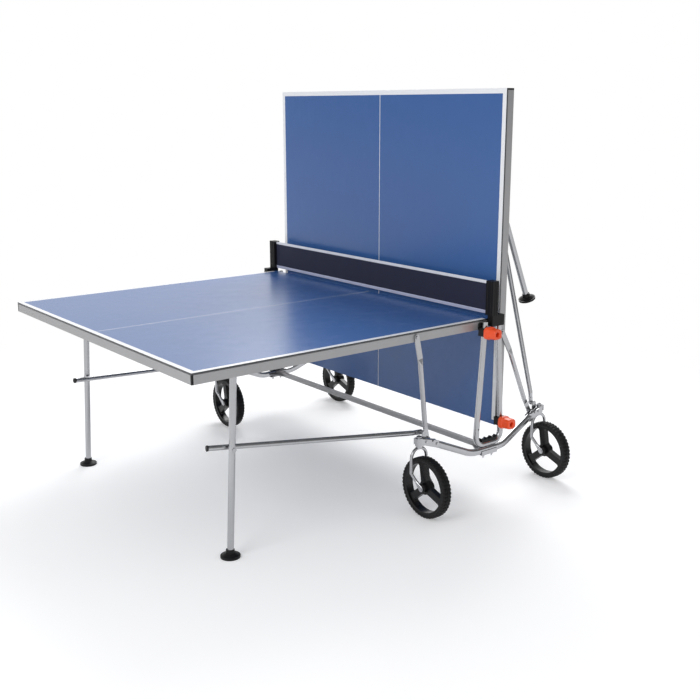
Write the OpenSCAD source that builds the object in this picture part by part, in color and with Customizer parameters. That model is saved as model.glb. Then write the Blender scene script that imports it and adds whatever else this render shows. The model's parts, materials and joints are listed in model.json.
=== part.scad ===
// Folding ping pong table: one half open for play, the other folded upright beside the net.
// Millimetres, +Z up. Lengths of the halves are measured outward from the net plane.

/* [Halves] */
// Length of one half, from its net edge to its outer end
half_len = 1370; // [1340:5:1400]
// Width of the playing surface
table_w = 1525; // [1510:5:1540]
// Height of the playing surface above the floor
table_h = 760; // [750:1:770]
// Gap between the net plane and the net edge of an open half
net_gap = 2; // [2:1:6]
// Thickness of the playing panel
panel_t = 6; // [4:1:8]
// Height of the dark groove between panel and apron
groove_h = 2; // [1:0.5:3]
// Height of the apron frame below the groove
apron_h = 33; // [28:1:40]
// Width of the apron frame's section
apron_w = 20; // [16:1:26]
// Wall of the apron frame's open section
apron_t = 2.5; // [2:0.5:4]
// Depth of the dark groove behind the apron's outer face
groove_in = 5; // [3:1:7]
// Radius of the black corner caps
cap_r = 7; // [4:1:10]
// Distance of a folded half's playing face from the net plane
fold_x = 57; // [54:1:66]
// Height of a folded half's net edge above the floor
fold_z = 293; // [285:1:300]
// Width of the bars under the panel
bar_w = 30; // [20:1:40]
// Wall of the bars under the panel
bar_t = 2; // [1.5:0.5:3]

/* [Half pivot and lock] */
// Distance of the half's pivot from its net edge
pivot_s = 50; // [46:1:54]
// Depth of the half's pivot below the playing face
pivot_d = 22; // [20:1:26]
// Radius of the half's pivot pin
pivot_r = 5; // [4:0.5:6]
// Depth that the pivot pin enters the apron
pivot_in = 16; // [10:1:18]
// Height of the lock housing along its post leg
lock_h = 34; // [28:1:38]
// Distance from the pivot down to the top of the lock housing
lock_drop = 10; // [9:1:14]
// Wall of the lock housing outside its post leg
lock_wall = 5; // [3:0.5:6]
// Distance of the lever's pivot from the half's pivot, towards the net plane
lever_x = 14; // [10:1:16]
// Distance of the lever's pivot below the half's pivot
lever_drop = 28; // [24:1:30]
// Height of the lock lever
lever_h = 50; // [40:1:56]
// Thickness of the lock lever
lever_t = 19; // [14:1:20]
// Reach of the lever's grip beyond its plate
lever_grip = 35; // [25:1:40]

/* [Chassis] */
// Distance of the posts and rails beyond the table's edge
post_gap = 16.5; // [16:0.5:20]
// Radius of the post tube
post_r = 12; // [10:0.5:13]
// Wall of the tubes
tube_t = 1.5; // [1:0.25:2]
// Distance from the pivot to the post leg's centre line
post_off = 13; // [11:0.5:14]
// Distance of the posts' top ends below the playing surface
post_drop = 8; // [4:1:12]
// Bend radius of the post tube's corners
post_bend = 40; // [35:1:45]
// Height of the rail's centre line at the middle
rail_z = 204; // [196:1:206]
// Height of the rail's flat oval section
rail_h = 30; // [26:1:34]
// Width of the rail's flat oval section
rail_w = 20; // [18:1:24]
// Height of the rail's centre line at its raised ends
rail_end_z = 303; // [300:1:306]
// Distance of the stems from the net plane
stem_x = 356; // [350:1:362]
// Distance of the stems inside the table's edge
stem_in = 18.5; // [16:0.5:20]
// Height of the cross beam's section
beam_h = 20; // [18:1:24]
// Width of the cross beam's section
beam_w = 20; // [18:1:30]
// Wall of the cross beam
beam_t = 3; // [2.5:0.5:4]
// Wall of the caster brackets
bracket_t = 3; // [2:0.5:4]
// Radius of the small bolts
bolt_r = 3; // [2.5:0.5:3]

/* [Casters] */
// Diameter of the wheels
wheel_d = 250; // [240:1:256]
// Width of the tyres
tyre_w = 42; // [36:1:44]
// Height of the tyre from rim to tread
tyre_h = 16; // [14:1:20]
// Trail of the wheel's axle behind the stem
trail = 47; // [40:1:50]
// Radius of the fork's round bar
fork_r = 6.5; // [5:0.5:7]
// Half width of the fork's hoop, at the bar's centre line
hoop_r = 40; // [37:1:42]
// Length of the fork's upright stretch below its hoop
fork_drop = 58; // [50:1:66]
// Distance of the fork's flat ends from the wheel's middle
fork_x = 27; // [25:0.5:30]
// Radius of the stem
stem_r = 6; // [5:0.5:7]
// Radius of the boss round the stem
boss_r = 16; // [13:1:18]
// Radius of the axle
axle_r = 5; // [4:0.5:6]
// Radius of the hub
hub_r = 20; // [16:1:24]
// Width of the wheel's three spokes
spoke_w = 30; // [22:1:36]

/* [Legs and folding links] */
// Distance of a leg's pivot from the net edge of its half
leg_s = 1122; // [1112:1:1132]
// Depth of a leg's pivot below the playing face
leg_d = 54; // [54:1:58]
// Distance of the legs inside the table's edge
leg_in = 147.5; // [140:0.5:160]
// Radius of the leg tubes
leg_r = 12.5; // [11:0.5:14]
// Outward lean of an open leg
leg_lean = 2.9; // [2:0.1:4]
// Angle of a folded leg from straight down
leg_fold = 23.6; // [20:0.2:26]
// Distance down the leg to the brace's bolt
leg_joint = 297; // [280:1:310]
// Radius of the black feet
foot_r = 37; // [30:1:40]
// Distance of the strut's upper end from the net edge
strut_s = 395; // [385:1:405]
// Depth of the strut's upper end below the playing face
strut_d = 23; // [19:1:26]
// Height of the strut's lower pivot
strut_z = 302; // [300:1:306]
// Radius of the strut tubes
strut_r = 10; // [8:0.5:11]
// Distance of the strut's lower end inside the table's edge, at its inner face
strut_foot_in = 32.5; // [31:0.5:34]
// Distance of the strut's upper tube end beyond the table's edge
strut_head_out = 0.5; // [0:0.5:4]
// Height of the brace's lower pivot
brace_z = 332; // [330:1:334]
// Radius of the brace tubes
brace_r = 10; // [8:0.5:11]
// Length of the brace beyond the leg's bolt
brace_tail = 74; // [60:1:90]
// Distance of the brace's lower end inside the table's edge, at its inner face
brace_foot_in = 43.5; // [41:0.5:46]
// Gap between a leg and the brace that is bolted to it
brace_gap = 8; // [6:0.5:10]
// Thickness of the flattened tube ends
flat_t = 5; // [4:0.5:6]
// Half width of the flattened tube ends
flat_r = 10; // [8:0.5:10]

/* [Net] */
// Height of the net above the playing surface
net_h = 152.5; // [150:0.5:155]
// Height of the net posts' tops above the playing surface
net_post_h = 155; // [153:1:160]
// Width of the net posts along the table
net_post_w = 34; // [28:1:38]
// Overlap of the net posts over the table's edge
net_post_lap = 5.5; // [3:0.5:7]
// Height of the net's white top tape
tape_h = 13; // [10:1:16]
// Height of the net's pale bottom tape
hem_h = 14; // [10:1:20]
// Gap between the playing surface and the net's lower edge
net_lift = 16; // [8:1:20]
// Thickness of the net's cloth
net_t = 2; // [1.5:0.5:3]

/* [Clearances] */
// Radial clearance of sliding and turning fits
run_c = 0.06; // [0.03:0.01:0.1]
// Radial clearance of fixed bolts and plugs
bolt_c = 0.2; // [0.1:0.05:0.3]
// Side clearance between parts that move past each other
side_c = 0.6; // [0.4:0.1:0.8]

/* [Hidden] */
$fn = 48;

// Colours
silver = [0.72, 0.73, 0.75];
zinc = [0.82, 0.83, 0.84];
black = [0.07, 0.07, 0.08];
blue = [0.27, 0.40, 0.62];
orange = [1.0, 0.35, 0.16];
navy = [0.17, 0.19, 0.29];
white = [0.95, 0.95, 0.96];

// Places across the table, measured from its centre line
edge_y = table_w / 2;
board_t = panel_t + groove_h + apron_h;
post_y = edge_y + post_gap;
stem_y = edge_y - stem_in;
leg_y = edge_y - leg_in;
strut_foot_y = edge_y - strut_foot_in;
strut_head_y = edge_y + strut_head_out;
brace_foot_y = edge_y - brace_foot_in;
net_post_in = edge_y - net_post_lap;
lock_in = edge_y + side_c;
lock_out = post_y + post_r + lock_wall;
lever_in = lock_out + side_c;
lever_out = lever_in + lever_t + lever_grip;

// Pivot of a half: [x, z] when open and when folded
pivot_open = [net_gap + pivot_s, table_h - pivot_d];
pivot_fold = [fold_x + pivot_d, fold_z + pivot_s];
slide_v = pivot_fold - pivot_open;
slide_len = norm(slide_v);
splay = atan2(slide_v[0], -slide_v[1]);

// Corner of the post between its leg and its foot, at the height of the foot's centre line
post_z = rail_z + rail_h / 2 + post_r;
post_top = table_h - post_drop;
function leg_line_x(z) = pivot_open[0] - post_off + (pivot_open[1] - z) * tan(splay);

// A point of a half at distance s from the net edge and depth d, open or folded
function on_open(s, d) = [net_gap + s, table_h - d];
function on_fold(s, d) = [fold_x + d, fold_z + s];
// The x at height z that lies equally far from points p and q
function mid_x(p, q, z) = (p * p - q * q - 2 * z * (p[1] - q[1])) / (2 * (p[0] - q[0]));
function angle_of(v) = atan2(v[1], v[0]);
function along(p, a, l) = p + l * [cos(a), sin(a)];

// Struts and braces: lower pivot, length and angle of each link
strut_foot = [mid_x(on_open(strut_s, strut_d), on_fold(strut_s, strut_d), strut_z), strut_z];
leg_angle_a = leg_lean - 90;
leg_angle_b = leg_fold - 90;
joint_a = along(on_open(leg_s, leg_d), leg_angle_a, leg_joint);
joint_b = along(on_fold(leg_s, leg_d), leg_angle_b, leg_joint);
brace_foot = [mid_x(joint_a, joint_b, brace_z), brace_z];
brace_len = norm(joint_a - brace_foot);
strut_len = norm(on_open(strut_s, strut_d) - strut_foot);
leg_len = (table_h - leg_d) / cos(leg_lean);

// Rail: its raised ends run inward to the stems
rail_mid = 60;
rail_lap = 5;
rail_shift = 3;
rail_end_x = stem_x - boss_r - 2;
rail_yaw = atan2(post_y - stem_y - rail_shift, stem_x - rail_mid);
rail_level = 35;
rail_drop = 12;
rail_step = [rail_mid + rail_level, stem_x - 56];
rail_rise = rail_end_z - rail_drop;

// Casters
wheel_r = wheel_d / 2;
boss_h = rail_h + 2;
boss_z = rail_end_z - boss_h / 2;
collar_h = 2;
hoop_z = boss_z - side_c - collar_h - fork_r;
fork_turn_z = hoop_z - hoop_r;
axle_y = -trail;

// Net
net_top = table_h + net_h;
brace_y = leg_y - leg_r - brace_gap - brace_r;

// The whole table's middle is the origin: the net stands off it
x_low = net_gap + half_len;
x_high = on_fold(leg_s, leg_d)[0] + leg_len * sin(leg_fold) + foot_r * cos(leg_fold);
y_low = stem_y + trail + wheel_r;
net_x = (x_low - x_high) / 2;
net_y = (y_low - lever_out) / 2;

module at_net() { translate([net_x, net_y, 0]) children(); }
// Mirrors the far quarter beyond the net (x > 0, y > 0) to side a or b, near or far
module quarter(side, end) {
  mirror([side == "a" ? 1 : 0, 0, 0]) mirror([0, end == "near" ? 1 : 0, 0]) children();
}
module both_ends(side) { for (end = ["near", "far"]) quarter(side, end) children(); }
module all_quarters() { for (side = ["a", "b"]) both_ends(side) children(); }
// Places a child on the line from a point in the XZ plane, its +Z along angle a (from +X up)
module aim(p, a, y = 0) { translate([p[0], y, p[1]]) rotate([0, 90 - a, 0]) children(); }
// Stands a cylinder along +Y from y to y + l, at a point of the XZ plane
module pin(p, y, l, r) { translate([p[0], y, p[1]]) rotate([-90, 0, 0]) cylinder(h = l, r = r); }
module ring(r, t) { difference() { circle(r); circle(r - t); } }

// Flat oval outline: x is the height of the section, y its width
module oval(h, w) {
  square([h - w, w], center = true);
  for (s = [-1, 1]) translate([s * (h - w) / 2, 0]) circle(w / 2);
}

// Bends a section along points [x, z] with corners of radius r, in the XZ plane.
// The first child is the section of the straight stretches, which sit a weld's depth into the
// bends; the second, larger by skin all round, is the section of the bends.
weld = 0.5;
skin = 0.15;
module bent(points, r) {
  n = len(points);
  dirs = [for (i = [0 : n - 2]) (points[i + 1] - points[i]) / norm(points[i + 1] - points[i])];
  turns = [for (i = [1 : n - 2]) turn(dirs[i - 1], dirs[i])];
  cuts = [for (i = [0 : n - 1]) (i == 0 || i == n - 1) ? 0 : r[i - 1] * tan(abs(turns[i - 1]) / 2)];
  for (i = [0 : n - 2]) {
    p = points[i] + cuts[i] * dirs[i];
    q = points[i + 1] - cuts[i + 1] * dirs[i];
    aim(p, angle_of(dirs[i])) translate([0, 0, i == 0 ? 0 : -weld])
      linear_extrude(norm(q - p) + (i == 0 ? 0 : weld) + (i == n - 2 ? 0 : weld)) children(0);
  }
  for (i = [1 : n - 2]) {
    t = turns[i - 1];
    s = sign(t);
    c = points[i] - cuts[i] * dirs[i - 1] + r[i - 1] * s * [-dirs[i - 1][1], dirs[i - 1][0]];
    start = angle_of(dirs[i - 1]) + (s > 0 ? -90 : 90 + t);
    translate([c[0], 0, c[1]]) rotate([90, 0, 0]) rotate([0, 0, start])
      rotate_extrude(angle = abs(t)) translate([r[i - 1], 0]) children(1);
  }
}
function turn(d, e) = atan2(d[0] * e[1] - d[1] * e[0], d * e);

// ---- Chassis ----

// One side's rail: level in the middle, rising to both ends and running inward to them
module rail_frame() { translate([rail_mid, post_y, 0]) rotate([0, 0, -rail_yaw]) translate([-rail_mid, 0, 0]) children(); }
module rail_half() {
  rail_frame() bent([[rail_mid - rail_lap, rail_z], [rail_step[0], rail_z], [rail_step[1], rail_rise],
    [rail_end_x, rail_end_z]], [150, 80]) {
    oval(rail_h, rail_w);
    oval(rail_h + 2 * skin, rail_w + 2 * skin);
  }
}
module rail(end) {
  color(zinc) difference() {
    union() {
      for (side = ["a", "b"]) quarter(side, end) rail_half();
      quarter("b", end) translate([-rail_mid, post_y, rail_z]) rotate([0, 90, 0])
        linear_extrude(2 * rail_mid) oval(rail_h, rail_w);
    }
    for (side = ["a", "b"]) quarter(side, end) {
      rail_frame() bracket_bolt_holes();
      clamp_bolt_hole();
    }
  }
}
module bracket_bolt_holes() {
  for (x = bracket_bolts) pin([x, bracket_bolt_z(x)], -40, 80, bolt_r + bolt_c);
}
bracket_bolts = [stem_x - 77, stem_x - 24];
function bracket_bolt_z(x) = rail_rise + (x - rail_step[1]) * (rail_end_z - rail_rise) / (rail_end_x - rail_step[1]);

// One side's post: a tube bent into a narrow U, its legs meeting towards the net
post_corner = leg_line_x(post_z);
module post_line() {
  translate([0, post_y, 0])
    bent([[-leg_line_x(post_top), post_top], [-post_corner, post_z], [post_corner, post_z],
      [leg_line_x(post_top), post_top]], [post_bend, post_bend]) {
      children(0);
      children(1);
    }
}
module post(end) {
  color(zinc) quarter("b", end) difference() {
    post_line() {
      ring(post_r, tube_t);
      ring(post_r + skin, tube_t + 2 * skin);
    }
    for (s = [-1, 1]) pin([s * leg_line_x(lock_hole_z), lock_hole_z], post_y, 2 * post_r, 3.5);
    for (s = [-1, 1]) translate([s * clamp_bolt_x, post_y, 0]) cylinder(h = table_h / 2, r = bolt_r + bolt_c);
  }
}
lock_hole_z = fold_z + 12;

// Cross beam: a ribbed flat tube between the two rails, with a gusset at each corner
beam_end = post_y - rail_w / 2;
beam_z = rail_z + 5;
rib_r = 2;
gusset_t = 4;
module cross_beam() {
  color(silver) {
    difference() {
      translate([-beam_w / 2, -beam_end, beam_z - beam_h / 2]) cube([beam_w, 2 * beam_end, beam_h]);
      translate([beam_t - beam_w / 2, -2 * beam_end, beam_z - beam_h / 2 + beam_t])
        cube([beam_w - 2 * beam_t, 4 * beam_end, beam_h - 2 * beam_t]);
      for (s = [-1, 1], z = [-1, 0, 1])
        translate([s * (beam_w / 2 + 1), 0, beam_z + z * beam_h / 4]) rotate([90, 0, 0])
          cylinder(h = 3 * beam_end, r = rib_r, center = true);
      for (s = [-1, 1]) translate([0, s * post_y, post_z]) rotate([0, 90, 0])
        cylinder(h = 2 * beam_w, r = post_r + side_c, center = true);
    }
    all_quarters() translate([beam_w / 2, beam_end, rail_z - gusset_t])
      linear_extrude(gusset_t) polygon([[0, 0], [45, 0], [0, -70]]);
  }
}

// Saddle: a scalloped black pad inside the post's foot
saddle_w = 88;
module saddles() {
  color(black) for (end = ["near", "far"]) quarter("b", end) difference() {
    translate([-saddle_w / 2, post_y - 9, post_z + 6]) cube([saddle_w, 18, 22]);
    post_line() {
      circle(post_r);
      circle(post_r + skin);
    }
    for (s = [-1, 0, 1]) pin([s * 29.3, post_z + 38], post_y - 20, 40, 17);
    for (s = [-1, 1]) translate([s * clamp_bolt_x, post_y, 0]) cylinder(h = table_h / 2, r = bolt_r + bolt_c);
  }
}
clamp_bolt_x = 25;
clamp_l = 90;
clamp_t = 3;
module clamp_bolt_hole() { translate([clamp_bolt_x, post_y, 0]) cylinder(h = table_h / 2, r = bolt_r + bolt_c); }

// Clamp: a folded plate under the rail, bolted up through the post's foot
module clamps() {
  color(zinc) for (end = ["near", "far"]) quarter("b", end) difference() {
    translate([-clamp_l / 2, post_y - rail_w / 2 - clamp_t, rail_z - rail_h / 2 - clamp_t]) {
      cube([clamp_l, rail_w + 2 * clamp_t, clamp_t]);
      translate([0, rail_w + clamp_t + 0.1, 0]) cube([clamp_l, clamp_t - 0.1, rail_h / 2 + clamp_t]);
    }
    for (s = [-1, 1]) translate([s * clamp_bolt_x, post_y, 0]) cylinder(h = table_h / 2, r = bolt_r + bolt_c);
  }
}

// Caster bracket: folded plate over the rail's end, bulging round the stem's boss
bracket_l = 92;
module caster_brackets() { color(zinc) all_quarters() caster_bracket(); }
module caster_bracket() {
  difference() {
    union() {
      translate([stem_x, stem_y, boss_z]) cylinder(h = boss_h, r = boss_r);
      rail_frame() difference() {
        union() {
          bracket_cheek(rail_w / 2);
          bracket_cheek(-rail_w / 2 - bracket_t);
        }
        bracket_bolt_holes();
      }
      for (p = [strut_foot, brace_foot]) pin(p, link_seat, bracket_in + 2 - link_seat, link_boss_r);
      translate([brace_foot[0] - lug_r, bracket_in - bracket_t, rail_end_z + lug_r / 2])
        cube([2 * lug_r, bracket_t + 1, brace_z - rail_end_z - lug_r / 2]);
      pin(brace_foot, bracket_in - bracket_t, bracket_t + 1, lug_r);
      translate([stem_x + boss_r - 3, stem_y - 12, boss_z + 8]) cube([5, 24, 24]);
    }
    translate([stem_x, stem_y, 0]) cylinder(h = table_h, r = stem_r + run_c);
    pin(strut_foot, 0, table_w, pivot_r + bolt_c);
    pin(brace_foot, 0, table_w, pivot_r + bolt_c);
    rail_half();
  }
}
bracket_in = stem_y - 4;
link_seat = strut_foot_y + flat_t + side_c;
link_boss_r = 9;
lug_r = 11;
module bracket_cheek(y) {
  translate([0, y, 0]) rotate([90, 0, 0]) mirror([0, 0, 1]) linear_extrude(bracket_t)
    polygon([[stem_x + 6 - bracket_l, bracket_bolt_z(stem_x - bracket_l) - 15],
      [stem_x - boss_r, boss_z + 1], [stem_x + 4, boss_z + 1], [stem_x + 4, boss_z + boss_h - 1],
      [stem_x + 6 - bracket_l, bracket_bolt_z(stem_x - bracket_l) + 17]]);
}

// All small bolts of the chassis
module chassis_bolts() {
  color(silver) all_quarters() {
    rail_frame() for (x = bracket_bolts) {
      pin([x, bracket_bolt_z(x)], -rail_w / 2 - bracket_t, rail_w + 2 * bracket_t, bolt_r);
      pin([x, bracket_bolt_z(x)], rail_w / 2 + bracket_t, 4, bolt_r + 2.5);
      pin([x, bracket_bolt_z(x)], -rail_w / 2 - bracket_t - 4, 4, bolt_r + 2.5);
    }
    translate([clamp_bolt_x, post_y, rail_z - rail_h / 2 - 18]) cylinder(h = 18 + rail_h + 2 * post_r + 12, r = bolt_r);
    translate([clamp_bolt_x, post_y, rail_z - rail_h / 2 - 10]) cylinder(h = 6, r = bolt_r + 3);
    link_bolt(strut_foot, strut_foot_y);
    link_bolt(brace_foot, brace_foot_y);
  }
}
// Shoulder bolt that carries a link's flat end, from inside the link out to the bracket
module link_bolt(p, y) {
  pin(p, y - side_c - 4, bracket_in - y + 6, pivot_r);
  pin(p, y - side_c - 4, 4, pivot_r + 3);
}

// ---- Halves ----
// Each half is drawn lying open beyond the net, x outward, then turned up if it is folded.
module placed(side) {
  if (side == "a") mirror([1, 0, 0]) translate([net_gap, 0, table_h]) children();
  else translate([fold_x, 0, fold_z]) rotate([0, -90, 0]) children();
}
module panel(side) {
  color(blue) placed(side) translate([0, -edge_y, -panel_t]) cube([half_len, table_w, panel_t]);
}
module apron(side) {
  color(silver) placed(side) difference() {
    union() {
      translate([0, -edge_y, -board_t]) cube([half_len, table_w, apron_h]);
      translate([groove_in, groove_in - edge_y, -board_t])
        cube([half_len - 2 * groove_in, table_w - 2 * groove_in, apron_h + groove_h]);
    }
    translate([apron_solid, apron_t - edge_y, apron_t - board_t])
      cube([half_len - apron_solid - apron_t, table_w - 2 * apron_t, apron_h - 2 * apron_t]);
    translate([apron_t, apron_solid - edge_y, apron_t - board_t])
      cube([apron_solid, table_w - 2 * apron_solid, apron_h - 2 * apron_t]);
    translate([apron_w, apron_w - edge_y, -2 * board_t])
      cube([half_len - 2 * apron_w, table_w - 2 * apron_w, 3 * board_t]);
    for (s = [-1, 1]) {
      translate([half_len, s * edge_y, -1.5 * board_t]) cylinder(h = 2 * board_t, r = cap_r + bolt_c);
      pin([pivot_s, -pivot_d], s * edge_y - pivot_in - 1, 2 * pivot_in + 2, pivot_r + run_c);
    }
  }
}
// The frame stays solid this far from the net edge's corners, round the pivots' bores
apron_solid = pivot_s + 30;
module corner_caps(side) {
  color(black) placed(side) intersection() {
    for (s = [-1, 1]) translate([half_len, s * edge_y, -board_t]) cylinder(h = board_t - panel_t, r = cap_r);
    translate([0, -edge_y, -board_t]) cube([half_len, table_w, board_t]);
  }
}
// Bars under the panel: two across, one of them carrying the legs, and one along the middle
bar_x = [half_len / 3, leg_s];
bar_h = apron_h + groove_h - 1;
module crossbars(side) {
  color(silver) placed(side) {
    for (x = bar_x) translate([x, 0, 0]) channel(table_w - 2 * apron_w);
    for (s = [[apron_w, bar_x[0] - bar_w / 2], [bar_x[0] + bar_w / 2, bar_x[1] - bar_w / 2],
        [bar_x[1] + bar_w / 2, half_len - apron_w]])
      translate([(s[0] + s[1]) / 2, 0, 0]) rotate([0, 0, 90]) channel(s[1] - s[0]);
  }
}
module channel(l) {
  difference() {
    translate([-bar_w / 2, -l / 2, -board_t]) cube([bar_w, l, bar_h + 1]);
    translate([-bar_w / 2 + bar_t, -l, -board_t - bar_t]) cube([bar_w - 2 * bar_t, 2 * l, bar_h + 1]);
  }
}
// Brackets that hang from the outer bar and hold the legs' cross tube
module leg_brackets(side) {
  color(black) placed(side) for (s = [-1, 1], y = [leg_y - 60, leg_y - 110]) difference() {
    union() {
      translate([leg_s - 17, s * y - 4, -leg_d]) cube([34, 8, leg_d - board_t]);
      translate([leg_s, s * y - 4, -leg_d]) rotate([-90, 0, 0]) cylinder(h = 8, r = 17);
    }
    translate([leg_s, s * y - 10, -leg_d]) rotate([-90, 0, 0]) cylinder(h = 20, r = leg_r + run_c);
  }
}

// ---- Lock housings and levers ----
function pivot_of(side) = side == "a" ? pivot_open : pivot_fold;
// Housing that slides on a post leg and carries the half's pivot pin
module lock(side, end) {
  p = pivot_of(side);
  q = [p[0] - post_off, p[1]];
  color(black) quarter(side, end) {
    difference() {
      union() {
        aim(q, splay - 90) translate([-lock_half, lock_in, lock_drop])
          cube([2 * lock_half, lock_out - lock_in, lock_h]);
        pin([p[0], p[1]], lock_in, lug_t, 11);
        translate([p[0] - 11, lock_in, p[1] - lock_drop - 8]) cube([22, lug_t, lock_drop + 8]);
      }
      aim(q, splay - 90) translate([0, post_y, -lock_h]) cylinder(h = 4 * lock_h, r = post_r + run_c);
    }
    pin(p, edge_y - pivot_in, pivot_in + side_c + 1, pivot_r);
    pin(lever_at(side), lock_out - 1, 1 + side_c + lever_t + 2, pivot_r);
    pin(lever_at(side), lock_out + side_c + lever_t + side_c, 2.5, pivot_r + 3);
  }
}
lock_half = post_r + 7;
lug_t = post_y - post_r - lock_in - side_c / 2;
// Pivot of a lever, on the housing's outer face
function lever_at(side) = pivot_of(side) - [lever_x, lever_drop];
// Lever: a rounded plate beside the housing with a grip that curls outward
module lever(side, end) {
  p = lever_at(side);
  turned = (side == "a") == (end == "near");
  color(orange) quarter(side, end) difference() {
    translate([p[0], lever_in, p[1]]) mirror([turned ? 1 : 0, 0, 0]) {
      hull() for (x = [-lever_long + lever_h / 2, lever_long - 24])
        translate([x, 0, 0]) rotate([-90, 0, 0]) cylinder(h = lever_t, r = x < 0 ? lever_h / 2 : 21, $fn = 32);
      hull() {
        translate([lever_long - 14, 1, 4]) rotate([-90, 0, 0]) cylinder(h = lever_t - 2, r = 13, $fn = 32);
        translate([lever_long - 11, lever_t + lever_grip - 4, 6]) rotate([-90, 0, 0]) cylinder(h = 4, r = 10, $fn = 32);
      }
    }
    pin(p, 0, table_w, pivot_r + run_c);
    pin(p, lever_in + lever_t, table_w, pivot_r + 4);
  }
}
lever_long = 28;

// ---- Struts and braces ----
strut_flat = 70;
head_flat = 114;
head_r = 12;
module struts(side) {
  head = side == "a" ? on_open(strut_s, strut_d) : on_fold(strut_s, strut_d);
  a = angle_of(head - strut_foot);
  color(zinc) both_ends(side) difference() {
    union() {
      link_tube(strut_foot, a, strut_flat, strut_len - head_flat, strut_foot_y + 3, strut_head_y, strut_r);
      flat_end(strut_foot, a, strut_flat, strut_foot_y, strut_foot_y + 3, strut_r, flat_r);
      flat_end(head, a + 180, head_flat, edge_y + 1, strut_head_y, strut_r, head_r);
      pin(head, edge_y + 2, flat_t + 3, 7);
    }
    pin(strut_foot, 0, table_w, pivot_r + run_c);
  }
}
// Round tube of a link, from l0 to l1 along angle a, leaning across the table from y0 to y1
module link_tube(p, a, l0, l1, y0, y1, r) {
  aim(p, a) translate([0, y0, l0]) rotate([-atan2(y1 - y0, l1 - l0), 0, 0])
    cylinder(h = norm([l1 - l0, y1 - y0]), r = r);
}
// Flattened end of a link: a round-ended plate that swells to the tube at distance l
swell = 24;
module flat_end(p, a, l, y, tube_y, r, w) {
  aim(p, a) {
    translate([0, y, 0]) rotate([-90, 0, 0]) cylinder(h = flat_t, r = w);
    translate([-w, y, 0]) cube([2 * w, flat_t, l - swell]);
    hull() {
      translate([skin - w, y + skin, l - swell - 1]) cube([2 * (w - skin), flat_t - 2 * skin, 1]);
      translate([0, tube_y, l - 0.5]) cylinder(h = 5, r = r - 0.4, $fn = 32);
    }
  }
}
function joint_of(side) = side == "a" ? joint_a : joint_b;
module braces(side) {
  a = angle_of(joint_of(side) - brace_foot);
  color(zinc) both_ends(side) difference() {
    union() {
      brace_tube(a, brace_flat, brace_len + brace_tail, brace_r);
      flat_end(brace_foot, a, brace_flat, brace_foot_y, brace_foot_y + flat_t / 2, brace_r, flat_r);
    }
    brace_tube(a, brace_flat + 15, brace_len + brace_tail + 1, brace_r - tube_t);
    pin(brace_foot, 0, table_w, pivot_r + run_c);
  }
}
// Distance from the centre line of a point on the brace's axis, l from its lower pivot
function brace_at(l) = brace_foot_y + flat_t / 2
  + (l - brace_flat) * (brace_y - brace_foot_y - flat_t / 2) / (brace_len - brace_flat);
brace_flat = 46;
module brace_tube(a, l0, l1, r) { link_tube(brace_foot, a, l0, l1, brace_at(l0), brace_at(l1), r); }
module brace_caps(side) {
  a = angle_of(joint_of(side) - brace_foot);
  color(black) both_ends(side) brace_tube(a, brace_len + brace_tail, brace_len + brace_tail + 5, brace_r + 1);
}

// ---- Legs ----
function leg_top(side) = side == "a" ? on_open(leg_s, leg_d) : on_fold(leg_s, leg_d);
function leg_angle(side) = side == "a" ? leg_angle_a : leg_angle_b;
module leg(side, end) {
  p = leg_top(side);
  color(zinc) quarter(side, end) {
    difference() {
      aim(p, leg_angle(side), leg_y) cylinder(h = leg_len - leg_short, r = leg_r);
      aim(p, leg_angle(side), leg_y) cylinder(h = leg_len, r = leg_r - tube_t);
      pin(p, leg_y - 2 * leg_r, 4 * leg_r, leg_r + bolt_c);
    }
    pin(joint_of(side), leg_y - leg_r - brace_gap / 2, 2 * leg_r + brace_gap / 2 + 5, 4);
    pin(joint_of(side), leg_y - leg_r - brace_gap / 2, brace_gap / 2 + 1, 8);
    pin(joint_of(side), leg_y + leg_r - 1, 6, 8);
  }
}
module leg_tie(side) {
  color(zinc) mirror([side == "a" ? 1 : 0, 0, 0]) difference() {
    pin(leg_top(side), -leg_y - leg_r, 2 * (leg_y + leg_r), leg_r);
    pin(leg_top(side), -leg_y - 2 * leg_r, 2 * (leg_y + 2 * leg_r), leg_r - tube_t);
  }
}
module feet(side) {
  color(black) both_ends(side) difference() {
    aim(leg_top(side), leg_angle(side), leg_y) translate([0, 0, leg_len]) rotate([0, foot_tilt, 0]) foot();
    aim(leg_top(side), leg_angle(side), leg_y) cylinder(h = leg_len - leg_short, r = leg_r + bolt_c);
  }
}
// The foot's sole is level when the leg leans as it does in play
foot_tilt = 180 + leg_lean;
// The leg's tube ends this far above the sole
leg_short = 10;
module foot() {
  cylinder(h = 8, r = foot_r);
  translate([0, 0, 8]) cylinder(h = 8, r1 = foot_r - 4, r2 = leg_r + 7);
  translate([0, 0, 16]) cylinder(h = 14, r1 = leg_r + 5, r2 = leg_r + 3.5);
}

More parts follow.
